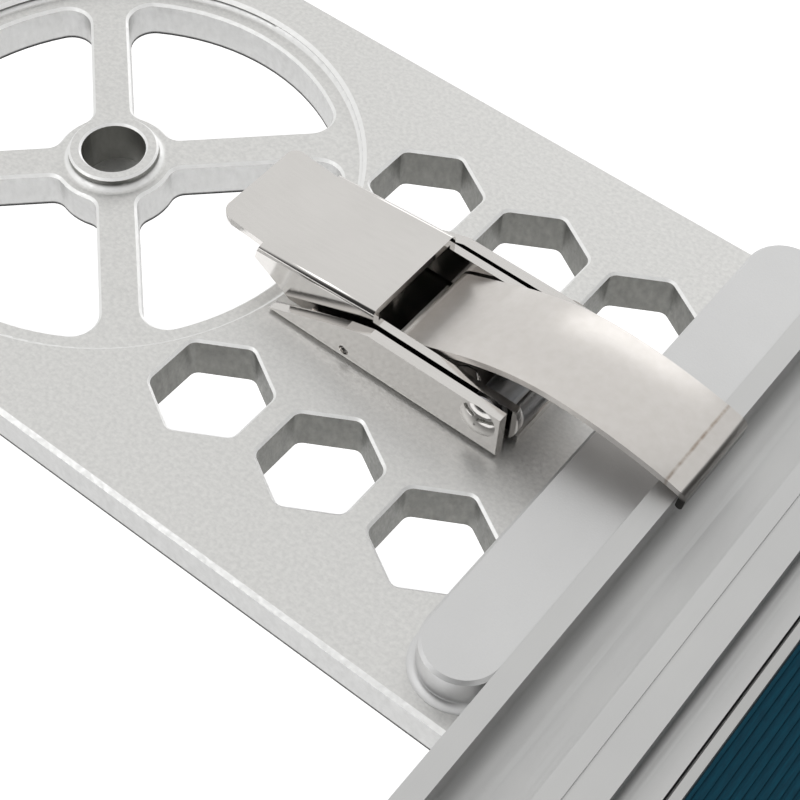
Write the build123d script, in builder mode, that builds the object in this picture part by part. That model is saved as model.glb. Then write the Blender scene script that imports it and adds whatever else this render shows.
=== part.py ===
from build123d import *

import math
import os

# Spring-claw toggle latch clamping a grooved jaw rail against a milled plate.
# Frame: origin on the hub bore axis at the plate's top face, +X towards the rail, +Z up. Millimetres.

os.makedirs("parts", exist_ok=True)

TOL = 1e-3

# ---- milled plate -------------------------------------------------------------------------------
PLATE_T = 8.0
PLATE_HALF_W = 47.45
PLATE_END_X = 103.5
EDGE_CHAMFER = 0.65
FOOT_EDGE_CHAMFER = 1.3
RECESS_R = 39.4
RECESS_DEPTH = 1.5
COVE_R = 0.8
RIM_CHAMFER = 0.6
OPENING_R = 36.4
HUB_DISC_R = 9.5
SPOKE_W = 6.3
OPENING_CHAMFER = 0.45
OPENING_OUTER_FILLET = 4.0
OPENING_INNER_FILLET = 2.6
HUB_R = 7.1
HUB_TOP_Z = 0.6
HUB_CHAMFER = 0.35
HUB_COVE_R = 1.2
BORE_R = 5.1
BORE_CHAMFER = 0.35
PLUG_R = 6.5
PLUG_T = 1.0
HEX_AF = 15.9
HEX_CORNER_R = 1.6
HEX_FIRST_X = 43.0
HEX_PITCH = 20.0
HEX_ROW_Y = 25.25
HEX_CHAMFER = 0.4
FOOT_R = 3.5
FOOT_T = 3.0
FOOT_EDGE_R = 0.5
FOOT_RING_R = 41.8

# ---- stop bar -----------------------------------------------------------------------------------
BAR_X = 97.25
BAR_Y = 1.7
BAR_LENGTH = 91.6
BAR_W = 12.06
BAR_H = 6.2
BAR_CHAMFER = 0.5
BAR_FLARE = 1.2
BAR_COVE_R = 1.1
BAR_FLARE_T = 0.1
BAR_GAP = 0.05
BAR_SCREW_YS = (-34.0, 1.7, 37.4)
BAR_SCREW_TOP = 5.0
M4_R = 2.0
M4_HEAD_R = 4.0
M4_SOCKET_R = 1.4
M4_SOCKET_DEPTH = 1.4
DOWEL_R = 2.0
DOWEL_X = 103.5
DOWEL_LENGTH = 14.0
DOWEL_Y = 20.0
DOWEL_Z = -4.0
DOWEL_CHAMFER = 0.4
RUN_FIT = 0.05

# ---- toggle latch -------------------------------------------------------------------------------
LATCH_Y = 2.75
BASE_BACK_X = 40.0
BASE_FRONT_X = 81.4
BASE_TONGUE_X = 82.2
BASE_FLOOR_X = 45.5
TIP_R = 0.5
BASE_T = 1.5
BASE_HALF_OUT = 12.05
BASE_HALF_IN = 10.4
BASE_BEND_R = 1.0
WALL_H = 8.8
WALL_TIP_H = 0.9
WALL_MID_X = 54.4
WALL_MID_Z = 7.4
WALL_KNEE_X = 58.5
WINDOW_X0 = 58.0
WINDOW_X1 = 66.5
WINDOW_HALF_Y = 7.9
DIMPLE_X = 54.2
DIMPLE_Z = 2.2
DIMPLE_R = 0.85
DIMPLE_DEPTH = 0.4
PIVOT_X = 77.8
PIVOT_Z = 6.0
PIVOT_R = 1.6
PIVOT_HEAD_R = 3.0
PIVOT_HEAD_H = 0.9
DOME_MID = 0.3
SLEEVE_R = 2.5
SLEEVE_HALF = 8.15
WASHER_R = 2.6
WASHER_T = 0.4
ARM_END_R = 5.2
ARM_TOP_Z = 8.9
ARM_FOOT_Z = 2.0
ARM_HALF_OUT = 9.65
ARM_HALF_IN = 8.35
LEVER_T = 1.3
LEVER_BEND_R = 1.15
LEVER_FRONT_X = 57.5
LEVER_FRONT_Z = 11.05
LEVER_BACK_X = 36.2
LEVER_BACK_Z = 9.4
LEVER_TIP_X = 27.9
LEVER_TIP_Z = 10.3
TAB_HALF_W = 8.55
TAB_NEAR_R = 2.1
TAB_FAR_R = 1.7
FLANGE_TOE_X = 35.4
FLANGE_TOE_Z = 6.6
FLANGE_HEEL_X = 42.0
RELIEF_X = 74.0
RELIEF_HALF_Y = 7.9
PIN_X = 62.6
PIN_Z = 4.2
PIN_R = 1.5
STRAP_T = 1.1
STRAP_HALF_ROOT = 8.0
STRAP_HALF_TIP = 7.85
EYE_WRAP = 262.0
RAMP_ANGLE = 24.3
RAMP_LENGTH = 9.0
ARCH_STOPS = ((78.0, 12.7), (86.0, 13.85), (96.0, 13.3), (105.0, 11.6))
STRAP_TOP_Z = 16.0
HOOK_X = 107.85
HOOK_SHOULDER_Z = 10.75
HOOK_BEND_R = 0.9
HOOK_FOOT_X = 107.6
HOOK_FOOT_Z = 8.4
RIVET_XS = (50.0, 70.4)
RIVET_DY = 5.0
RIVET_R = 1.5
RIVET_HEAD_R = 2.6
RIVET_HEAD_H = 0.8
RIVET_HEAD_LAND = 0.2

# ---- rails and mat ------------------------------------------------------------------------------
RAIL_HALF_L = 75.0
RAIL_X = 103.55
RAIL_TOP_Z = 9.3
RAIL_BOTTOM_Z = -11.0
LIP_X = 106.85
CHANNEL_Z = 1.5
LAND_X0 = 116.6
LAND_X1 = 123.75
LAND_GROOVE_X = 119.45
LEDGE_Z = 5.3
RAIL_WALL_X = 128.15
FLANGE_X = 139.0
FLANGE_T = 3.0
BACKING_Z = 1.3
BACKING_T = 2.0
MAT_T = 1.9
MAT_X = 130.25
RIB_PITCH = 1.2
RIB_GAP = 0.5
RIB_DEPTH = 0.25
STRIP_X = 128.4
STRIP_W = 1.8
OUTER_RAIL_X = 165.0
OUTER_RAIL_W = 7.0
CHANNEL_COVE = 4.2
LEDGE_COVE = 1.8
RAIL_CHAMFER = 0.25
GROOVE_W = 0.4
GROOVE_DEPTH = 0.25
M3_R = 1.5
M3_HEAD_R = 2.8
M3_SOCKET_R = 1.1
M3_SOCKET_DEPTH = 1.0
LEDGE_SCREW_X = 134.2
LEDGE_SCREW_TOP = 3.0
LEDGE_SCREW_PITCH = 42.0

MAT_CENTRE_X = (RAIL_WALL_X + OUTER_RAIL_X) / 2
MAT_W = 2 * (MAT_CENTRE_X - MAT_X)
OUTER_FLANGE_X = 2 * MAT_CENTRE_X - FLANGE_X
EYE_MID_R = PIN_R + RUN_FIT + STRAP_T / 2
LEVER_SLOPE = math.atan2(LEVER_FRONT_Z - LEVER_BACK_Z, LEVER_FRONT_X - LEVER_BACK_X)
LEVER_UNDER_DZ = LEVER_T / math.cos(LEVER_SLOPE)
ARM_FRONT_TOP_X = PIVOT_X + math.sqrt(ARM_END_R**2 - (ARM_TOP_Z - PIVOT_Z) ** 2)
ARM_FRONT_FOOT_X = PIVOT_X + math.sqrt(ARM_END_R**2 - (PIVOT_Z - ARM_FOOT_Z) ** 2)

ALONG_X = (Align.MIN, Align.CENTER, Align.CENTER)

# side view of the latch: local x along +X, local y up, looking along +Y
LATCH_SIDE = Plane(origin=(0, LATCH_Y, 0), x_dir=(1, 0, 0), z_dir=(0, -1, 0))
RAIL_SIDE = Plane.XZ


def save(solid, name):
    """Label one piece and write its STEP file."""
    solid.label = name
    export_step(solid, f"parts/{name}.step")


def radius_of(vertex):
    return math.hypot(vertex.X, vertex.Y)


def countersunk(points, z_low, z_high, shank_r, head_r, mode=Mode.ADD):
    """Flat-head screws (or the matching holes) with their heads flush at z_low."""
    head_h = head_r - shank_r
    with Locations([(x, y, z_low + head_h / 2) for x, y in points]):
        Cone(head_r, shank_r, head_h, mode=mode)
    with Locations([(x, y, (z_low + z_high) / 2) for x, y in points]):
        Cylinder(shank_r, z_high - z_low, mode=mode)


def cross_pin(x, z, r, half_length, mode=Mode.ADD):
    """Cylinder along Y centred on the latch."""
    with Locations(Location((x, LATCH_Y, z), (90, 0, 0))):
        Cylinder(r, 2 * half_length, mode=mode)


BAR_SCREWS = [(BAR_X, y) for y in BAR_SCREW_YS]
RIVETS = [(x, LATCH_Y + side * RIVET_DY) for x in RIVET_XS for side in (-1, 1)]
JAW_SCREWS = [(LEDGE_SCREW_X, (i - 1.5) * LEDGE_SCREW_PITCH) for i in range(4)]
OUTER_SCREWS = [(2 * MAT_CENTRE_X - x, y) for x, y in JAW_SCREWS]
DOWELS = [Location((DOWEL_X, side * DOWEL_Y, DOWEL_Z), (0, 90, 0)) for side in (-1, 1)]
FOOT_DIAGONAL = FOOT_RING_R * math.sin(math.pi / 4)
FEET = [(-FOOT_DIAGONAL, side * FOOT_DIAGONAL) for side in (-1, 1)]

# ---- base plate ---------------------------------------------------------------------------------
with BuildPart() as base_plate:
    with BuildSketch(Plane.XY.offset(-PLATE_T)):
        with BuildLine():
            Line((0, -PLATE_HALF_W), (PLATE_END_X, -PLATE_HALF_W))
            Line((PLATE_END_X, -PLATE_HALF_W), (PLATE_END_X, PLATE_HALF_W))
            Line((PLATE_END_X, PLATE_HALF_W), (0, PLATE_HALF_W))
            ThreePointArc((0, PLATE_HALF_W), (-PLATE_HALF_W, 0), (0, -PLATE_HALF_W))
        make_face()
    extrude(amount=PLATE_T)
    rims = base_plate.faces().filter_by(Axis.Z).edges().filter_by(lambda e: e.center().X < PLATE_END_X - 1)
    chamfer(rims.filter_by(lambda e: e.center().Z > -TOL), EDGE_CHAMFER)
    chamfer(rims.filter_by(lambda e: e.center().Z < TOL - PLATE_T), FOOT_EDGE_CHAMFER)

    # round recess with the hub left standing slightly proud, its wall and hub foot coved into the floor
    with BuildSketch(Plane.XY):
        Circle(RECESS_R)
    extrude(amount=-RECESS_DEPTH, mode=Mode.SUBTRACT)
    with BuildSketch(Plane.XY.offset(-RECESS_DEPTH)):
        Circle(HUB_R)
    extrude(amount=RECESS_DEPTH + HUB_TOP_Z)
    eased_circles = (
        (fillet, COVE_R, RECESS_R, -RECESS_DEPTH),
        (fillet, HUB_COVE_R, HUB_R, -RECESS_DEPTH),
        (chamfer, RIM_CHAMFER, RECESS_R, 0),
        (chamfer, HUB_CHAMFER, HUB_R, HUB_TOP_Z),
    )
    for ease, size, radius, level in eased_circles:
        circles = base_plate.edges().filter_by(GeomType.CIRCLE)
        at_level = circles.filter_by(lambda e: abs(e.center().Z - level) < TOL)
        ease(at_level.filter_by(lambda e: abs(e.radius - radius) < TOL), size)

    # four openings between the spokes
    with BuildSketch(Plane.XY.offset(-RECESS_DEPTH)) as openings:
        Circle(OPENING_R)
        Circle(HUB_DISC_R, mode=Mode.SUBTRACT)
        for angle in (45, -45):
            Rectangle(3 * OPENING_R, SPOKE_W, rotation=angle, mode=Mode.SUBTRACT)
        fillet(openings.vertices().filter_by(lambda v: radius_of(v) > OPENING_R / 2), OPENING_OUTER_FILLET)
        fillet(openings.vertices().filter_by(lambda v: radius_of(v) < OPENING_R / 2), OPENING_INNER_FILLET)
    extrude(amount=-PLATE_T, mode=Mode.SUBTRACT)
    spoke_face = base_plate.faces().filter_by(Axis.Z).filter_by(
        lambda f: abs(f.center().Z + RECESS_DEPTH) < TOL).sort_by(SortBy.AREA)[-1]
    inner_edges = spoke_face.inner_wires().edges()
    hub_foot = inner_edges.filter_by(GeomType.CIRCLE).filter_by(
        lambda e: e.radius < HUB_DISC_R - TOL and e.length > math.pi * HUB_R)
    chamfer(inner_edges - hub_foot, OPENING_CHAMFER)

    # hub bore, counterbored from below for the plug that closes it
    with Locations((0, 0, HUB_TOP_Z)):
        CounterSinkHole(BORE_R, BORE_R + BORE_CHAMFER, counter_sink_angle=90)
    with BuildSketch(Plane.XY.offset(-PLATE_T)):
        Circle(PLUG_R)
    extrude(amount=PLUG_T, mode=Mode.SUBTRACT)

    # hexagonal holes, flats facing along X
    with BuildSketch(Plane.XY) as hexes:
        with Locations((HEX_FIRST_X + HEX_PITCH, 0)):
            with GridLocations(HEX_PITCH, 2 * HEX_ROW_Y, 3, 2):
                RegularPolygon(HEX_AF / 2, 6, major_radius=False, rotation=30)
        fillet(hexes.vertices(), HEX_CORNER_R)
    extrude(amount=-PLATE_T, mode=Mode.SUBTRACT)
    for level in (0, -PLATE_T):
        face = base_plate.faces().filter_by(Axis.Z).filter_by(
            lambda f: abs(f.center().Z - level) < TOL).sort_by(SortBy.AREA)[-1]
        hex_rims = face.inner_wires().filter_by(
            lambda w: abs(w.length - hexes.faces()[0].outer_wire().length) < TOL)
        chamfer(hex_rims.edges(), HEX_CHAMFER)

    countersunk(BAR_SCREWS, -PLATE_T, 0, M4_R, M4_HEAD_R, Mode.SUBTRACT)
    countersunk(RIVETS, -PLATE_T, 0, RIVET_R, RIVET_HEAD_R, Mode.SUBTRACT)
    with Locations(DOWELS):
        Cylinder(DOWEL_R, DOWEL_LENGTH, mode=Mode.SUBTRACT)

with BuildPart() as bore_plug:
    with BuildSketch(Plane.XY.offset(-PLATE_T)):
        Circle(PLUG_R)
    extrude(amount=PLUG_T)

with BuildPart() as plate_feet:
    with BuildSketch(Plane.XY.offset(RAIL_BOTTOM_Z)):
        with Locations(FEET):
            Circle(FOOT_R)
    extrude(amount=FOOT_T)
    fillet(plate_feet.faces().sort_by(Axis.Z)[:2].edges(), FOOT_EDGE_R)

# ---- stop bar -----------------------------------------------------------------------------------
with BuildPart() as stop_bar:
    with BuildSketch(Plane.XY):
        with Locations((BAR_X, BAR_Y)):
            SlotOverall(BAR_LENGTH, BAR_W, rotation=90)
    extrude(amount=BAR_H)
    chamfer(stop_bar.faces().sort_by(Axis.Z)[-1].edges(), BAR_CHAMFER)
    with BuildSketch(Plane.XY):
        with Locations((BAR_X, BAR_Y)):
            SlotOverall(BAR_LENGTH + 2 * BAR_FLARE, BAR_W + 2 * BAR_FLARE, rotation=90)
    extrude(amount=BAR_FLARE_T)
    foot_line = stop_bar.edges().filter_by(
        lambda e: abs(e.center().Z - BAR_FLARE_T) < TOL and abs(e.center().X - BAR_X) < BAR_W / 2 + TOL
        and abs(e.center().Y - BAR_Y) < BAR_LENGTH / 2 - TOL)
    fillet(foot_line, BAR_COVE_R)
    with Locations((PLATE_END_X - BAR_GAP, BAR_Y, 0)):
        Box(BAR_W, 2 * BAR_LENGTH, 2 * BAR_H, align=ALONG_X, mode=Mode.SUBTRACT)
    with Locations((BAR_X, BAR_Y + BAR_LENGTH / 2, 0)):
        Box(2 * BAR_W, BAR_W, 2 * BAR_H, align=(Align.CENTER, Align.MIN, Align.CENTER), mode=Mode.SUBTRACT)
    with Locations([(x, y, BAR_SCREW_TOP / 2) for x, y in BAR_SCREWS]):
        Cylinder(M4_R, BAR_SCREW_TOP, mode=Mode.SUBTRACT)

with BuildPart() as stop_bar_screws:
    countersunk(BAR_SCREWS, -PLATE_T, BAR_SCREW_TOP, M4_R, M4_HEAD_R)
    with Locations([(x, y, -PLATE_T) for x, y in BAR_SCREWS]):
        Cylinder(M4_SOCKET_R, 2 * M4_SOCKET_DEPTH, mode=Mode.SUBTRACT)

# ---- latch base: open channel with tapering walls -------------------------------------------------
with BuildPart() as latch_base:
    with BuildSketch(LATCH_SIDE):
        with BuildLine():
            Polyline((BASE_BACK_X, 0), (BASE_BACK_X, WALL_TIP_H), (WALL_MID_X, WALL_MID_Z),
                     (WALL_KNEE_X, WALL_H), (BASE_FRONT_X, WALL_H), (BASE_FRONT_X, 0), close=True)
        make_face()
    extrude(amount=BASE_HALF_OUT, both=True)
    fillet(latch_base.edges().filter_by(Axis.X).filter_by(lambda e: e.center().Z < TOL), BASE_BEND_R)
    with Locations((BASE_BACK_X, LATCH_Y, BASE_T)):
        Box(2 * (BASE_FRONT_X - BASE_BACK_X), 2 * BASE_HALF_IN, WALL_H,
            align=(Align.MIN, Align.CENTER, Align.MIN), mode=Mode.SUBTRACT)
    with Locations((BASE_BACK_X, LATCH_Y, BASE_T / 2)):
        Box(BASE_FLOOR_X - BASE_BACK_X, 2 * BASE_HALF_IN, BASE_T, align=ALONG_X, mode=Mode.SUBTRACT)
    fillet(latch_base.edges().filter_by(Axis.Y).filter_by(
        lambda e: e.center().X < BASE_BACK_X + TOL and e.center().Z > TOL), TIP_R)
    with Locations((RELIEF_X, LATCH_Y, BASE_T / 2)):
        Box(BASE_FRONT_X, 2 * BASE_HALF_IN, BASE_T, align=ALONG_X, mode=Mode.SUBTRACT)
        Box(BASE_TONGUE_X - RELIEF_X, 2 * RELIEF_HALF_Y, BASE_T, align=ALONG_X)
    with Locations(((WINDOW_X0 + WINDOW_X1) / 2, LATCH_Y, BASE_T / 2)):
        Box(WINDOW_X1 - WINDOW_X0, 2 * WINDOW_HALF_Y, BASE_T, mode=Mode.SUBTRACT)
    with Locations([(x, y, BASE_T / 2) for x, y in RIVETS]):
        Cylinder(RIVET_R, BASE_T, mode=Mode.SUBTRACT)
    cross_pin(PIVOT_X, PIVOT_Z, PIVOT_R, BASE_HALF_OUT, Mode.SUBTRACT)
    with Locations(Location((DIMPLE_X, LATCH_Y - BASE_HALF_OUT, DIMPLE_Z), (90, 0, 0))):
        Cylinder(DIMPLE_R, 2 * DIMPLE_DEPTH, mode=Mode.SUBTRACT)

with BuildPart() as latch_rivets:
    countersunk(RIVETS, -PLATE_T, BASE_T, RIVET_R, RIVET_HEAD_R)
    with Locations([(x, y, BASE_T + RIVET_HEAD_H / 2) for x, y in RIVETS]):
        Cylinder(RIVET_HEAD_R, RIVET_HEAD_H)
    tops = latch_rivets.faces().filter_by(Axis.Z).filter_by(lambda f: f.center().Z > BASE_T + TOL)
    fillet(tops.edges(), RIVET_HEAD_H - RIVET_HEAD_LAND)

# pivot rivet with a low domed head on each side
with BuildPart() as pivot_rivet:
    cross_pin(PIVOT_X, PIVOT_Z, PIVOT_R, BASE_HALF_OUT)
    dome_r = (PIVOT_HEAD_R**2 + PIVOT_HEAD_H**2) / (2 * PIVOT_HEAD_H)
    dome_mid_h = dome_r * math.cos(DOME_MID) - dome_r + PIVOT_HEAD_H
    for side in (-1, 1):
        with BuildSketch(Plane(origin=(PIVOT_X, LATCH_Y + side * BASE_HALF_OUT, PIVOT_Z),
                               x_dir=(0, 0, 1), z_dir=(-1, 0, 0))):
            with BuildLine():
                ThreePointArc((PIVOT_HEAD_R, 0), (dome_r * math.sin(DOME_MID), side * dome_mid_h),
                              (0, side * PIVOT_HEAD_H))
                Polyline((0, side * PIVOT_HEAD_H), (0, 0), (PIVOT_HEAD_R, 0))
            make_face()
        revolve(axis=Axis((PIVOT_X, LATCH_Y, PIVOT_Z), (0, 1, 0)))

with BuildPart() as pivot_sleeve:
    cross_pin(PIVOT_X, PIVOT_Z, SLEEVE_R, SLEEVE_HALF)
    cross_pin(PIVOT_X, PIVOT_Z, PIVOT_R, SLEEVE_HALF, Mode.SUBTRACT)

with BuildPart() as pivot_washers:
    cross_pin(PIVOT_X, PIVOT_Z, WASHER_R, BASE_HALF_IN)
    cross_pin(PIVOT_X, PIVOT_Z, WASHER_R, BASE_HALF_IN - WASHER_T, Mode.SUBTRACT)
    cross_pin(PIVOT_X, PIVOT_Z, PIVOT_R, BASE_HALF_IN, Mode.SUBTRACT)

# ---- latch lever: inverted channel, long arms down to the pivot, plain finger tab at the back ------
with BuildPart() as latch_lever:
    with BuildSketch(LATCH_SIDE):
        with BuildLine():
            Polyline((ARM_FRONT_FOOT_X, ARM_FOOT_Z), (FLANGE_HEEL_X, ARM_FOOT_Z),
                     (FLANGE_TOE_X, FLANGE_TOE_Z), (LEVER_BACK_X, LEVER_BACK_Z),
                     (LEVER_FRONT_X, LEVER_FRONT_Z), (LEVER_FRONT_X, ARM_TOP_Z),
                     (ARM_FRONT_TOP_X, ARM_TOP_Z))
            ThreePointArc((ARM_FRONT_TOP_X, ARM_TOP_Z), (PIVOT_X + ARM_END_R, PIVOT_Z),
                          (ARM_FRONT_FOOT_X, ARM_FOOT_Z))
        make_face()
    extrude(amount=ARM_HALF_OUT, both=True)
    slope_edges = latch_lever.edges().filter_by(
        lambda e: LEVER_BACK_Z < e.center().Z < LEVER_FRONT_Z and e.length > LEVER_FRONT_X - LEVER_BACK_X)
    fillet(slope_edges.filter_by(lambda e: e.center().X < LEVER_FRONT_X - TOL), LEVER_BEND_R)
    with BuildSketch(LATCH_SIDE):
        with BuildLine():
            Polyline((FLANGE_TOE_X - LEVER_T, 0), (FLANGE_TOE_X - LEVER_T, LEVER_BACK_Z - LEVER_UNDER_DZ),
                     (LEVER_BACK_X, LEVER_BACK_Z - LEVER_UNDER_DZ),
                     (LEVER_FRONT_X, LEVER_FRONT_Z - LEVER_UNDER_DZ), (LEVER_FRONT_X, LEVER_FRONT_Z),
                     (PIVOT_X + 2 * ARM_END_R, LEVER_FRONT_Z), (PIVOT_X + 2 * ARM_END_R, 0), close=True)
        make_face()
    extrude(amount=ARM_HALF_IN, both=True, mode=Mode.SUBTRACT)
    with BuildSketch(LATCH_SIDE):
        with BuildLine():
            Polyline((LEVER_BACK_X + LEVER_T, LEVER_BACK_Z), (LEVER_BACK_X, LEVER_BACK_Z),
                     (LEVER_TIP_X, LEVER_TIP_Z), (LEVER_TIP_X, LEVER_TIP_Z - LEVER_T),
                     (LEVER_BACK_X + LEVER_T, LEVER_BACK_Z - LEVER_UNDER_DZ), close=True)
        make_face()
    extrude(amount=TAB_HALF_W, both=True)
    tab_corners = latch_lever.edges().filter_by(Axis.Z).filter_by(lambda e: e.center().X < LEVER_TIP_X + TOL)
    fillet(tab_corners.sort_by(Axis.Y)[0], TAB_NEAR_R)
    tab_corners = latch_lever.edges().filter_by(Axis.Z).filter_by(lambda e: e.center().X < LEVER_TIP_X + TOL)
    fillet(tab_corners.sort_by(Axis.Y)[-1], TAB_FAR_R)
    cross_pin(PIVOT_X, PIVOT_Z, PIVOT_R + RUN_FIT, BASE_HALF_OUT, Mode.SUBTRACT)
    cross_pin(PIN_X, PIN_Z, PIN_R, BASE_HALF_OUT, Mode.SUBTRACT)

with BuildPart() as strap_pin:
    cross_pin(PIN_X, PIN_Z, PIN_R, ARM_HALF_OUT)

# ---- claw strap: rolled eye on the lever pin, arched sheet, hook turned down behind the lip ---------
with BuildPart() as latch_strap:
    with BuildSketch(LATCH_SIDE) as strap_profile:
        with BuildLine():
            eye = CenterArc((PIN_X, PIN_Z), EYE_MID_R, 90 + RAMP_ANGLE, EYE_WRAP)
            arch = PolarLine(eye @ 0, RAMP_LENGTH, RAMP_ANGLE)
            for stop in ARCH_STOPS:
                arch = TangentArc(arch @ 1, stop, tangent=arch % 1)
            FilletPolyline(arch @ 1, (HOOK_X, HOOK_SHOULDER_Z), (HOOK_FOOT_X, HOOK_FOOT_Z),
                           radius=HOOK_BEND_R)
            offset(amount=STRAP_T / 2, side=Side.BOTH, closed=True, mode=Mode.REPLACE)
        make_face()
    extrude(amount=2 * STRAP_HALF_TIP, both=True)
    with BuildSketch(Plane((0, LATCH_Y, 0))):
        with BuildLine():
            Polyline((PIN_X - PIN_R - 2 * STRAP_T, -STRAP_HALF_ROOT), (HOOK_X + STRAP_T, -STRAP_HALF_TIP),
                     (HOOK_X + STRAP_T, STRAP_HALF_TIP), (PIN_X - PIN_R - 2 * STRAP_T, STRAP_HALF_ROOT),
                     close=True)
        make_face()
    extrude(amount=STRAP_TOP_Z, mode=Mode.INTERSECT)

# ---- rails --------------------------------------------------------------------------------------
with BuildPart() as jaw_rail:
    with BuildSketch(RAIL_SIDE) as jaw_profile:
        with BuildLine():
            Polyline((LIP_X, CHANNEL_Z + CHANNEL_COVE), (LIP_X, RAIL_TOP_Z), (RAIL_X, RAIL_TOP_Z),
                     (RAIL_X, RAIL_BOTTOM_Z), (RAIL_WALL_X, RAIL_BOTTOM_Z),
                     (RAIL_WALL_X, BACKING_Z - FLANGE_T), (FLANGE_X, BACKING_Z - FLANGE_T),
                     (FLANGE_X, BACKING_Z), (RAIL_WALL_X, BACKING_Z), (RAIL_WALL_X, LEDGE_Z),
                     (LAND_X1 + LEDGE_COVE, LEDGE_Z))
            RadiusArc((LAND_X1 + LEDGE_COVE, LEDGE_Z), (LAND_X1, LEDGE_Z + LEDGE_COVE), LEDGE_COVE)
            Polyline((LAND_X1, LEDGE_Z + LEDGE_COVE), (LAND_X1, RAIL_TOP_Z), (LAND_X0, RAIL_TOP_Z),
                     (LAND_X0, CHANNEL_Z), (LIP_X + CHANNEL_COVE, CHANNEL_Z))
            RadiusArc((LIP_X + CHANNEL_COVE, CHANNEL_Z), (LIP_X, CHANNEL_Z + CHANNEL_COVE), CHANNEL_COVE)
        make_face()
        chamfer(jaw_profile.vertices().filter_by(lambda v: v.Z > RAIL_TOP_Z - TOL), RAIL_CHAMFER)
        with Locations((LAND_GROOVE_X, RAIL_TOP_Z)):
            Rectangle(GROOVE_W, 2 * GROOVE_DEPTH, mode=Mode.SUBTRACT)
    extrude(amount=RAIL_HALF_L, both=True)
    with Locations(DOWELS):
        Cylinder(DOWEL_R, DOWEL_LENGTH, mode=Mode.SUBTRACT)
    countersunk(JAW_SCREWS, BACKING_Z - FLANGE_T, BACKING_Z, M3_R, M3_HEAD_R, Mode.SUBTRACT)

with BuildPart() as locating_dowels:
    with Locations(DOWELS):
        Cylinder(DOWEL_R, DOWEL_LENGTH)
    chamfer(locating_dowels.faces().filter_by(Axis.X).edges(), DOWEL_CHAMFER)

with BuildPart() as outer_rail:
    with BuildSketch(RAIL_SIDE) as outer_profile:
        with BuildLine():
            Polyline((OUTER_RAIL_X, RAIL_TOP_Z), (OUTER_RAIL_X, BACKING_Z), (OUTER_FLANGE_X, BACKING_Z),
                     (OUTER_FLANGE_X, BACKING_Z - FLANGE_T), (OUTER_RAIL_X, BACKING_Z - FLANGE_T),
                     (OUTER_RAIL_X, RAIL_BOTTOM_Z), (OUTER_RAIL_X + OUTER_RAIL_W, RAIL_BOTTOM_Z),
                     (OUTER_RAIL_X + OUTER_RAIL_W, RAIL_TOP_Z), close=True)
        make_face()
        chamfer(outer_profile.vertices().filter_by(lambda v: v.Z > RAIL_TOP_Z - TOL), RAIL_CHAMFER)
    extrude(amount=RAIL_HALF_L, both=True)
    countersunk(OUTER_SCREWS, BACKING_Z - FLANGE_T, BACKING_Z, M3_R, M3_HEAD_R, Mode.SUBTRACT)

# ---- backing plate, ribbed mat and edge strips ------------------------------------------------------
with BuildPart() as backing_plate:
    with Locations((MAT_CENTRE_X, 0, BACKING_Z + BACKING_T / 2)):
        Box(MAT_W, 2 * RAIL_HALF_L, BACKING_T)
    with Locations([(x, y, (BACKING_Z + LEDGE_SCREW_TOP) / 2) for x, y in JAW_SCREWS + OUTER_SCREWS]):
        Cylinder(M3_R, LEDGE_SCREW_TOP - BACKING_Z, mode=Mode.SUBTRACT)

with BuildPart() as work_mat:
    with BuildSketch(RAIL_SIDE):
        with Locations((MAT_CENTRE_X, BACKING_Z + BACKING_T + MAT_T / 2)):
            Rectangle(MAT_W, MAT_T)
        with Locations((MAT_CENTRE_X, BACKING_Z + BACKING_T + MAT_T)):
            with GridLocations(RIB_PITCH, 1, int(MAT_W / RIB_PITCH), 1):
                Rectangle(RIB_GAP, 2 * RIB_DEPTH, mode=Mode.SUBTRACT)
    extrude(amount=RAIL_HALF_L, both=True)

STRIPS = {"inner_strip": STRIP_X + STRIP_W / 2, "outer_strip": 2 * MAT_CENTRE_X - STRIP_X - STRIP_W / 2}
for strip_name, strip_x in STRIPS.items():
    with BuildPart() as edge_strip:
        with Locations((strip_x, 0, (BACKING_Z + LEDGE_Z) / 2)):
            Box(STRIP_W, 2 * RAIL_HALF_L, LEDGE_Z - BACKING_Z)
        chamfer(edge_strip.faces().sort_by(Axis.Z)[-1].edges().filter_by(Axis.Y), RAIL_CHAMFER)
    save(edge_strip.part, strip_name)

with BuildPart() as jaw_ledge_screws:
    countersunk(JAW_SCREWS, BACKING_Z - FLANGE_T, LEDGE_SCREW_TOP, M3_R, M3_HEAD_R)
    with Locations([(x, y, BACKING_Z - FLANGE_T) for x, y in JAW_SCREWS]):
        Cylinder(M3_SOCKET_R, 2 * M3_SOCKET_DEPTH, mode=Mode.SUBTRACT)

with BuildPart() as outer_ledge_screws:
    countersunk(OUTER_SCREWS, BACKING_Z - FLANGE_T, LEDGE_SCREW_TOP, M3_R, M3_HEAD_R)
    with Locations([(x, y, BACKING_Z - FLANGE_T) for x, y in OUTER_SCREWS]):
        Cylinder(M3_SOCKET_R, 2 * M3_SOCKET_DEPTH, mode=Mode.SUBTRACT)

save(base_plate.part, "base_plate")
save(bore_plug.part, "bore_plug")
save(plate_feet.part, "plate_feet")
save(stop_bar.part, "stop_bar")
save(stop_bar_screws.part, "stop_bar_screws")
save(latch_base.part, "latch_base")
save(latch_rivets.part, "latch_rivets")
save(pivot_rivet.part, "pivot_rivet")
save(pivot_sleeve.part, "pivot_sleeve")
save(pivot_washers.part, "pivot_washers")
save(latch_lever.part, "latch_lever")
save(strap_pin.part, "strap_pin")
save(latch_strap.part, "latch_strap")
save(locating_dowels.part, "locating_dowels")
save(jaw_rail.part, "jaw_rail")
save(outer_rail.part, "outer_rail")
save(backing_plate.part, "backing_plate")
save(work_mat.part, "work_mat")
save(jaw_ledge_screws.part, "jaw_ledge_screws")
save(outer_ledge_screws.part, "outer_ledge_screws")
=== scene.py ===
import math

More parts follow.
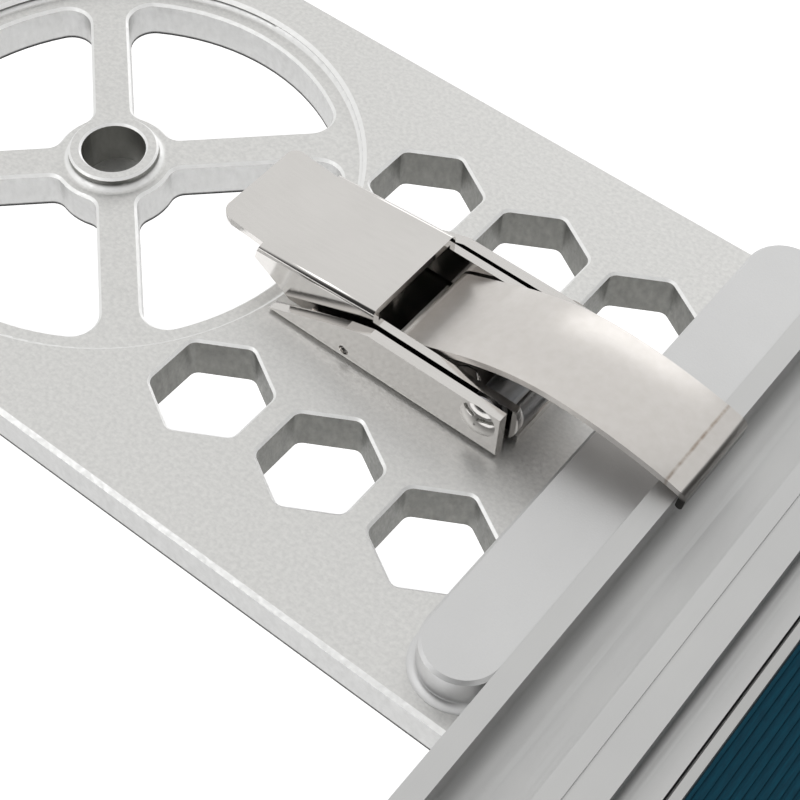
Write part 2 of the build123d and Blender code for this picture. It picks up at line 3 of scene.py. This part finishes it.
import bmesh
import bpy
from mathutils import Matrix, Vector


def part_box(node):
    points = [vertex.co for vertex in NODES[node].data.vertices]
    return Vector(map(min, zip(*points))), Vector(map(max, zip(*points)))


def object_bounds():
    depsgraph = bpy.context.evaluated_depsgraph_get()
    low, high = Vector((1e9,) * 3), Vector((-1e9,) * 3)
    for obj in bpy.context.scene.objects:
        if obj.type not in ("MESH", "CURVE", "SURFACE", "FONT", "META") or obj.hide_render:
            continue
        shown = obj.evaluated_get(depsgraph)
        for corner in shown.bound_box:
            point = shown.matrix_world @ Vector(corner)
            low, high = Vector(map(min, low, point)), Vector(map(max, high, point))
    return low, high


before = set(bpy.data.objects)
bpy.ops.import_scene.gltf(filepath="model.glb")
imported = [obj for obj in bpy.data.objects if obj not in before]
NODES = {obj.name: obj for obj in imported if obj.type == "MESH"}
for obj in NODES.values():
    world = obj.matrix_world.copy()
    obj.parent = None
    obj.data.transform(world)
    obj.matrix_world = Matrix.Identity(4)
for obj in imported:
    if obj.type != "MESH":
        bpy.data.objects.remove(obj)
cad_lo, cad_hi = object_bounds()

MM = 0.001
FLOOR_SIZE = 4.0
FLOOR_GAP = 0.05 * MM
FLOOR_GLOW = 0.85

# ---- which finish each CAD node wears ------------------------------------------------------------
FINISH = {
    "base_plate": "plate_aluminium",
    "bore_plug": "plate_aluminium",
    "backing_plate": "plate_aluminium",
    "plate_feet": "black_rubber",
    "stop_bar": "bar_aluminium",
    "stop_bar_screws": "zinc_steel",
    "latch_base": "polished_steel",
    "latch_rivets": "polished_steel",
    "pivot_rivet": "polished_steel",
    "pivot_sleeve": "zinc_steel",
    "pivot_washers": "zinc_steel",
    "latch_lever": "polished_steel",
    "strap_pin": "polished_steel",
    "latch_strap": "strap_steel",
    "locating_dowels": "zinc_steel",
    "jaw_rail": "rail_aluminium",
    "outer_rail": "rail_aluminium",
    "work_mat": "mat_teal",
    "inner_strip": "strip_grey",
    "outer_strip": "strip_grey",
    "jaw_ledge_screws": "zinc_steel",
    "outer_ledge_screws": "zinc_steel",
}
# sky tone along its lean: brightest overhead and towards -X, dark low down on the +X side
SKY_LEAN = (-0.7, 0.45, 1.0)
SKY = (
    (0.30, (0.05, 0.05, 0.049)),
    (0.48, (0.20, 0.20, 0.198)),
    (0.60, (0.50, 0.50, 0.495)),
    (0.72, (0.93, 0.93, 0.921)),
    (0.90, (1.0, 1.0, 0.99)),
)
SKY_STRENGTH = 0.84
# soft lamps: name, place, width and height in metres, watts
LAMPS = (
    ("far_side", (-0.25, 1.1, 0.5), (0.7, 0.4), 0.75),
    ("near_side", (-0.4, -0.33, 0.84), (0.35, 0.35), 0.5),
)
LAMP_TARGET = (0.06, 0, 0)
# rounded edges of the pressed latch pieces
EDGE_ROUND = {
    "latch_base": 0.35 * MM,
    "latch_lever": 0.25 * MM,
    "latch_strap": 0.35 * MM,
}
EDGE_ANGLE = math.radians(40)
WELD_GAP = 0.002 * MM
# zones of the plate: distances from the hub axis or centre line, depths below the top, soft borders
PLATE_SIDE = (44.0 * MM, 45.5 * MM)
HEXAGON_ZONE = (40.0 * MM, 41.0 * MM)
BORE_ZONE = (8.5 * MM, 9.2 * MM)
SIDE_LOW_EDGE = (6.1 * MM, 6.3 * MM)
HOLE_LOW_EDGE = (7.4 * MM, 7.7 * MM)
CHAMFER_LEAN = 0.9
COVE_LEAN = 0.6
# the strap's brown crease line and the painted shade on its hook leg, measured back from the hook's outer
# face
CREASE_BACK = 3.35 * MM
CREASE_CORE = 0.05 * MM
CREASE_REACH = 0.35 * MM
LEG_BACK = (2.0 * MM, 1.5 * MM)
LEG_TOP = (9.9 * MM, 10.5 * MM)


# ---- material helpers ----------------------------------------------------------------------------
def new_material(name):
    """A node material, its tree and its main shader."""
    mat = bpy.data.materials.new(name)
    mat.use_nodes = True
    tree = mat.node_tree
    return mat, tree, tree.nodes["Principled BSDF"]


def add(tree, kind, **values):
    """Adds one node; values set its properties, or its input sockets by name."""
    node = tree.nodes.new(kind)
    for key, value in values.items():
        if hasattr(node, key):
            setattr(node, key, value)
        else:
            node.inputs[key.replace("_", " ")].default_value = value
    return node


def object_coords(tree, scale=(1, 1, 1), turn=(0, 0, 0)):
    """Coordinates fixed to the piece, stretched and turned."""
    coords = add(tree, "ShaderNodeTexCoord")
    mapping = add(tree, "ShaderNodeMapping")
    mapping.inputs["Scale"].default_value = scale
    mapping.inputs["Rotation"].default_value = turn
    tree.links.new(coords.outputs["Object"], mapping.inputs["Vector"])
    return mapping.outputs["Vector"]


def noise(tree, vector, scale, detail=3.0, rough=0.5):
    node = add(tree, "ShaderNodeTexNoise", Scale=scale, Detail=detail, Roughness=rough)
    tree.links.new(vector, node.inputs["Vector"])
    return node.outputs["Fac"]


def remap(tree, value, low, high, out_low, out_high):
    node = add(tree, "ShaderNodeMapRange")
    for key, number in (("From Min", low), ("From Max", high), ("To Min", out_low), ("To Max", out_high)):
        node.inputs[key].default_value = number
    tree.links.new(value, node.inputs["Value"])
    return node.outputs["Result"]


def ramp(tree, value, stops):
    """Colour ramp from (position, colour) stops."""
    node = add(tree, "ShaderNodeValToRGB")
    elements = node.color_ramp.elements
    while len(elements) < len(stops):
        elements.new(0.5)
    for element, (position, colour) in zip(elements, stops):
        element.position = position
        element.color = (*colour, 1.0)
    tree.links.new(value, node.inputs["Fac"])
    return node.outputs["Color"]


def mix(tree, factor, first, second):
    """Mix of two colour outputs by a factor output."""
    node = add(tree, "ShaderNodeMixRGB")
    tree.links.new(factor, node.inputs["Fac"])
    tree.links.new(first, node.inputs["Color1"])
    tree.links.new(second, node.inputs["Color2"])
    return node.outputs["Color"]


def bump(tree, shader, height, strength, distance):
    node = add(tree, "ShaderNodeBump")
    node.inputs["Strength"].default_value = strength
    node.inputs["Distance"].default_value = distance
    tree.links.new(height, node.inputs["Height"])
    tree.links.new(node.outputs["Normal"], shader.inputs["Normal"])


def metal(name, dark, light, rough, grain_scale, grain_turn, bump_strength, bump_depth=0.00003, cloud=60.0):
    """Metal with a stretched grain in its roughness and surface and a slow drift in its tone."""
    mat, tree, shader = new_material(name)
    shader.inputs["Metallic"].default_value = 1.0
    grain = noise(tree, object_coords(tree, grain_scale, grain_turn), 1.0, 4.0, 0.6)
    drift = noise(tree, object_coords(tree), cloud, 3.0, 0.5)
    tone = ramp(tree, drift, ((0.35, dark), (0.65, light)))
    grain_tone = ramp(tree, grain, ((0.3, dark), (0.7, light)))
    blend = add(tree, "ShaderNodeMixRGB", Fac=0.5)
    tree.links.new(tone, blend.inputs["Color1"])
    tree.links.new(grain_tone, blend.inputs["Color2"])
    tree.links.new(blend.outputs["Color"], shader.inputs["Base Color"])
    tree.links.new(remap(tree, grain, 0.3, 0.7, *rough), shader.inputs["Roughness"])
    bump(tree, shader, grain, bump_strength, bump_depth)
    return mat


def both_masks(tree, first, second):
    """A mask that is set only where both masks are."""
    product = add(tree, "ShaderNodeMath", operation="MULTIPLY")
    tree.links.new(first, product.inputs[0])
    tree.links.new(second, product.inputs[1])
    return product.outputs["Value"]


def vector_step(tree, operation, vector, other):
    """A vector combined with a constant one."""
    step = add(tree, "ShaderNodeVectorMath", operation=operation)
    tree.links.new(vector, step.inputs[0])
    step.inputs[1].default_value = other
    return step.outputs["Vector"]


def length_of(tree, vector):
    node = add(tree, "ShaderNodeVectorMath", operation="LENGTH")
    tree.links.new(vector, node.inputs[0])
    return node.outputs["Value"]


def part_of(tree, vector, axis):
    """The size of one component of a vector."""
    split = add(tree, "ShaderNodeSeparateXYZ")
    tree.links.new(vector, split.inputs["Vector"])
    size = add(tree, "ShaderNodeMath", operation="ABSOLUTE")
    tree.links.new(split.outputs[axis], size.inputs[0])
    return size.outputs["Value"]


def lean_chamfer_shading(tree, shader, amount):
    """Leans the shading of slanted edges upwards, so that they read as bright lines; gives their mask."""
    normal = add(tree, "ShaderNodeNewGeometry").outputs["Normal"]
    upright = part_of(tree, normal, "Z")
    slanted = both_masks(
        tree,
        remap(tree, upright, 0.05, 0.3, 0.0, 1.0),
        remap(tree, upright, 0.88, 0.97, 1.0, 0.0))
    lift = add(tree, "ShaderNodeCombineXYZ")
    tree.links.new(remap(tree, slanted, 0.0, 1.0, 0.0, amount), lift.inputs["Z"])
    leaned = add(tree, "ShaderNodeVectorMath", operation="ADD")
    tree.links.new(normal, leaned.inputs[0])
    tree.links.new(lift.outputs["Vector"], leaned.inputs[1])
    unit = add(tree, "ShaderNodeVectorMath", operation="NORMALIZE")
    tree.links.new(leaned.outputs["Vector"], unit.inputs[0])
    bump_node = shader.inputs["Normal"].links[0].from_node
    tree.links.new(unit.outputs["Vector"], bump_node.inputs["Normal"])
    return slanted


# ---- materials -----------------------------------------------------------------------------------
def plate_aluminium():
    """Finely brushed plate with a painted highlight on its chamfers and painted shade on its walls: darker
    in the bore, darkest in the hexagons, with a painted shadow line along their low edges.
    """
    mat = metal("plate_aluminium", (0.69, 0.687, 0.677), (0.85, 0.845, 0.83), (0.36, 0.54),
                (1300, 2600, 1300), (0, 0, math.radians(-10)), 0.45, cloud=1500.0)
    tree = mat.node_tree
    shader = tree.nodes["Principled BSDF"]
    chamfers = lean_chamfer_shading(tree, shader, CHAMFER_LEAN)
    top_tone = shader.inputs["Base Color"].links[0].from_socket
    mill = noise(tree, object_coords(tree, (1, 1, 0.5)), 900.0, 3.0, 0.5)
    # painted highlight: the chamfers get a near-white colour
    painted_highlight_tone = ramp(tree, mill, ((0.3, (0.95, 0.95, 0.945)), (0.7, (0.98, 0.98, 0.975))))
    # painted shade: the walls are darker than the top
    painted_wall_shade = ramp(tree, mill, ((0.3, (0.58, 0.58, 0.575)), (0.7, (0.63, 0.63, 0.625))))
    # painted shade: darker on the walls of the hub bore
    painted_bore_shade = ramp(tree, mill, ((0.3, (0.44, 0.44, 0.42)), (0.7, (0.50, 0.50, 0.48))))
    # painted shade: darkest on the hexagon walls
    painted_hexagon_shade = ramp(tree, mill, ((0.3, (0.18, 0.18, 0.17)), (0.7, (0.23, 0.23, 0.215))))
    # painted shadow: a near-black line along the low edges of the walls
    painted_low_edge_shadow = ramp(tree, mill, ((0.3, (0.04, 0.04, 0.04)), (0.7, (0.07, 0.07, 0.07))))
    normal = add(tree, "ShaderNodeNewGeometry").outputs["Normal"]
    place = object_coords(tree)
    wall = remap(tree, part_of(tree, normal, "Z"), 0.15, 0.5, 1.0, 0.0)
    flat = vector_step(tree, "MULTIPLY", place, (1, 1, 0))
    radius = length_of(tree, flat)
    off_spine = length_of(tree, vector_step(tree, "MINIMUM", flat, (0, 1, 0)))
    inside = remap(tree, off_spine, *PLATE_SIDE, 1.0, 0.0)
    in_hexagons = both_masks(tree, inside, remap(tree, radius, *HEXAGON_ZONE, 0.0, 1.0))
    in_bore = remap(tree, radius, *BORE_ZONE, 1.0, 0.0)
    depth = part_of(tree, place, "Z")
    low_edge = mix(tree, inside, remap(tree, depth, *SIDE_LOW_EDGE, 0.0, 1.0),
                   remap(tree, depth, *HOLE_LOW_EDGE, 0.0, 1.0))
    # painted shade on the walls, darker in the bore and hexagons, with a painted shadow line at their low
    # edges
    shaded_wall_tone = painted_wall_shade
    for mask, tone in ((in_hexagons, painted_hexagon_shade), (in_bore, painted_bore_shade), (low_edge, painted_low_edge_shadow)):
        shaded_wall_tone = mix(tree, mask, shaded_wall_tone, tone)
    # painted highlight on the chamfers
    top_tone = mix(tree, chamfers, top_tone, painted_highlight_tone)
    tree.links.new(mix(tree, wall, top_tone, shaded_wall_tone), shader.inputs["Base Color"])
    return mat


def bar_aluminium():
    mat = metal("bar_aluminium", (0.69, 0.69, 0.692), (0.74, 0.74, 0.742), (0.38, 0.46),
                (3800, 3800, 3800), (0, 0, 0), 0.4, 0.00004)
    lean_chamfer_shading(mat.node_tree, mat.node_tree.nodes["Principled BSDF"], COVE_LEAN)
    return mat


def rail_aluminium():
    mat = metal("rail_aluminium", (0.63, 0.63, 0.63), (0.68, 0.68, 0.675), (0.42, 0.52),
                (5200, 60, 5200), (0, 0, 0), 0.12)
    lean_chamfer_shading(mat.node_tree, mat.node_tree.nodes["Principled BSDF"], CHAMFER_LEAN)
    return mat


def polished_steel():
    return metal("polished_steel", (0.72, 0.70, 0.68), (0.77, 0.75, 0.73), (0.08, 0.14),
                 (120, 2600, 2600), (0, 0, 0), 0.03, 0.00002, 90.0)


def strap_steel():
    """Satin stainless: a brown line along the crease before the hook, and painted shade on the hook leg."""
    mat, tree, shader = new_material("strap_steel")
    shader.inputs["Metallic"].default_value = 1.0
    grain = noise(tree, object_coords(tree, (260, 3400, 3400)), 1.0, 4.0, 0.6)
    speck = noise(tree, object_coords(tree), 700.0, 3.0, 0.5)
    tone = ramp(tree, speck, ((0.3, (0.71, 0.68, 0.65)), (0.7, (0.75, 0.72, 0.695))))
    # a darker brown line along the crease before the hook
    crease_brown = ramp(tree, speck, ((0.35, (0.40, 0.33, 0.28)), (0.7, (0.66, 0.62, 0.58))))
    # painted shade: the hook leg is near black
    painted_leg_shade = ramp(tree, speck, ((0.3, (0.10, 0.10, 0.095)), (0.7, (0.16, 0.155, 0.15))))
    hook_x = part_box("latch_strap")[1].x
    axis = add(tree, "ShaderNodeSeparateXYZ")
    tree.links.new(object_coords(tree), axis.inputs["Vector"])
    along, up = axis.outputs["X"], axis.outputs["Z"]
    crease_x = hook_x - CREASE_BACK
    crease = both_masks(
        tree,
        remap(tree, along, crease_x - CREASE_REACH, crease_x - CREASE_CORE, 0.0, 1.0),
        remap(tree, along, crease_x + CREASE_CORE, crease_x + CREASE_REACH, 1.0, 0.0))
    leg = both_masks(
        tree,
        remap(tree, along, hook_x - LEG_BACK[0], hook_x - LEG_BACK[1], 0.0, 1.0),
        remap(tree, up, *LEG_TOP, 1.0, 0.0))
    tone = mix(tree, crease, tone, crease_brown)
    # painted shade on the hook leg
    tree.links.new(mix(tree, leg, tone, painted_leg_shade), shader.inputs["Base Color"])
    tree.links.new(remap(tree, grain, 0.3, 0.7, 0.28, 0.34), shader.inputs["Roughness"])
    bump(tree, shader, grain, 0.03, 0.00002)
    return mat


def zinc_steel():
    return metal("zinc_steel", (0.50, 0.51, 0.53), (0.62, 0.63, 0.65), (0.25, 0.4),
                 (900, 900, 900), (0, 0, 0), 0.1)


def strip_grey():
    return metal("strip_grey", (0.55, 0.55, 0.545), (0.61, 0.61, 0.605), (0.35, 0.5),
                 (3000, 80, 3000), (0, 0, 0), 0.1)


def mat_teal():
    """Dark teal ribbed sheet, its tone varying in fine streaks stretched along Y."""
    mat, tree, shader = new_material("mat_teal")
    grain = noise(tree, object_coords(tree, (1, 0.15, 1)), 2600.0, 3.0, 0.6)
    tree.links.new(ramp(tree, grain, ((0.3, (0.003, 0.048, 0.082)), (0.7, (0.006, 0.078, 0.125)))),
                   shader.inputs["Base Color"])
    tree.links.new(remap(tree, grain, 0.3, 0.7, 0.6, 0.75), shader.inputs["Roughness"])
    shader.inputs["Specular IOR Level"].default_value = 0.15
    bump(tree, shader, grain, 0.2, 0.00003)
    return mat


def black_rubber():
    mat, tree, shader = new_material("black_rubber")
    grain = noise(tree, object_coords(tree), 1800.0, 3.0, 0.6)
    tree.links.new(ramp(tree, grain, ((0.3, (0.012, 0.012, 0.012)), (0.7, (0.03, 0.03, 0.03)))),
                   shader.inputs["Base Color"])
    tree.links.new(remap(tree, grain, 0.3, 0.7, 0.6, 0.8), shader.inputs["Roughness"])
    bump(tree, shader, grain, 0.3, 0.00005)
    return mat


def floor_white():
    mat, tree, shader = new_material("floor_white")
    drift = noise(tree, object_coords(tree), 6.0)
    tone = ramp(tree, drift, ((0.4, (0.50, 0.50, 0.50)), (0.6, (0.52, 0.52, 0.52))))
    tree.links.new(tone, shader.inputs["Base Color"])
    shader.inputs["Roughness"].default_value = 0.8
    shader.inputs["Emission Color"].default_value = (1.0, 1.0, 1.0, 1.0)
    shader.inputs["Emission Strength"].default_value = FLOOR_GLOW
    return mat


MAKERS = (plate_aluminium, bar_aluminium, rail_aluminium, polished_steel, strap_steel, zinc_steel,
          strip_grey, mat_teal, black_rubber)
MATERIALS = {maker.__name__: maker() for maker in MAKERS}


# ---- CAD nodes: finish and rounded edges -----------------------------------------------------------
def dress(name, finish):
    node = NODES[name]
    node.data.materials.clear()
    node.data.materials.append(MATERIALS[finish])
    if name in EDGE_ROUND:
        weld = node.modifiers.new("weld", "WELD")
        weld.merge_threshold = WELD_GAP
        bevel = node.modifiers.new("edge_round", "BEVEL")
        bevel.width = EDGE_ROUND[name]
        bevel.segments = 2
        bevel.limit_method = "ANGLE"
        bevel.angle_limit = EDGE_ANGLE
        bevel.harden_normals = True


for node_name, node_finish in FINISH.items():
    dress(node_name, node_finish)


# ---- floor, lights and camera ----------------------------------------------------------------------
def make_floor():
    mesh = bpy.data.meshes.new("floor")
    grid = bmesh.new()
    bmesh.ops.create_grid(grid, x_segments=8, y_segments=8, size=FLOOR_SIZE / 2)
    grid.to_mesh(mesh)
    grid.free()
    floor = bpy.data.objects.new("floor", mesh)
    floor.location = (0, 0, cad_lo.z - FLOOR_GAP)
    mesh.materials.append(floor_white())
    bpy.context.scene.collection.objects.link(floor)


def area_light(name, place, size, watts):
    data = bpy.data.lights.new(name, "AREA")
    data.shape = "RECTANGLE"
    data.size, data.size_y = size
    data.energy = watts
    light = bpy.data.objects.new(name, data)
    light.location = place
    light.rotation_euler = (Vector(LAMP_TARGET) - Vector(place)).to_track_quat("-Z", "Y").to_euler()
    bpy.context.scene.collection.objects.link(light)


def make_world():
    """Soft tent: bright overhead and on one side, falling to a dark surround on the other."""
    world = bpy.data.worlds.new("studio")
    world.use_nodes = True
    tree = world.node_tree
    back = tree.nodes["Background"]
    coords = add(tree, "ShaderNodeTexCoord")
    lean = add(tree, "ShaderNodeVectorMath", operation="DOT_PRODUCT")
    lean.inputs[1].default_value = SKY_LEAN
    tree.links.new(coords.outputs["Generated"], lean.inputs[0])
    tree.links.new(ramp(tree, lean.outputs["Value"], SKY), back.inputs["Color"])
    back.inputs["Strength"].default_value = SKY_STRENGTH
    bpy.context.scene.world = world


CAMERA_PLACE = Vector((150.29, -133.35, 201.75)) * MM
CAMERA_AHEAD = Vector((-0.33897, 0.49142, -0.80225)).normalized()
CAMERA_RIGHT = Vector((0.78750, 0.61475, 0.04382)).normalized()
LENS = 79.3
SENSOR = 36.0


def make_camera():
    data = bpy.data.cameras.new("camera")
    data.lens = LENS
    data.sensor_width = SENSOR
    data.clip_start = 0.01
    camera = bpy.data.objects.new("camera", data)
    up = CAMERA_RIGHT.cross(CAMERA_AHEAD)
    turn = Matrix((CAMERA_RIGHT, up, -CAMERA_AHEAD)).transposed()
    camera.matrix_world = Matrix.Translation(CAMERA_PLACE) @ turn.to_4x4()
    bpy.context.scene.collection.objects.link(camera)
    bpy.context.scene.camera = camera


make_floor()
make_world()
for lamp in LAMPS:
    area_light(*lamp)
make_camera()
bpy.context.scene.view_settings.view_transform = "Standard"
